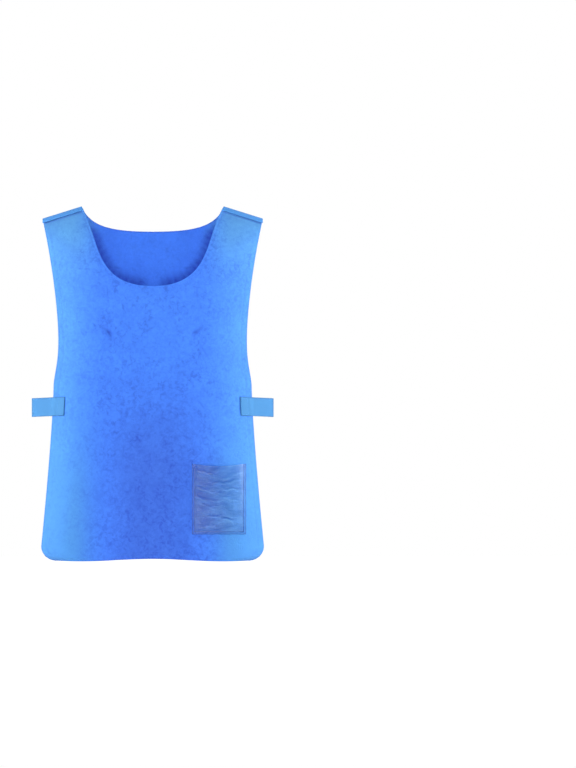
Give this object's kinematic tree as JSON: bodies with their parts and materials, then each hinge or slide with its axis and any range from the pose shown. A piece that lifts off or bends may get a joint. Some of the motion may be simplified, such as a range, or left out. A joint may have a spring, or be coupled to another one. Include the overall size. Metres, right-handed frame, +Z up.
{
  "type": "cooling vest",
  "caption": "Slip-on tabard vest of thin soft cloth with a deep round neckline, shoulder bands, side straps and a see-through patch pocket.",
  "frame": {"origin": "midway between the two neck points, where the shoulders carry the vest", "axes": "+Z up, -Y the front, +X the wearer's left"},
  "size_m": [0.4404, 0.1802, 0.6399],
  "materials": {
    "vest_cloth": "soft chamois-like cloth",
    "band_cloth": "smooth woven band",
    "pocket_film": "thin see-through film"
  },
  "bodies": {
    "root": {"front_panel": "vest_cloth", "back_panel": "vest_cloth", "shoulder_band_left": "band_cloth", "shoulder_band_right": "band_cloth", "side_strap_left": "band_cloth", "side_strap_right": "band_cloth", "pocket": "pocket_film"}
  },
  "joints": []
}
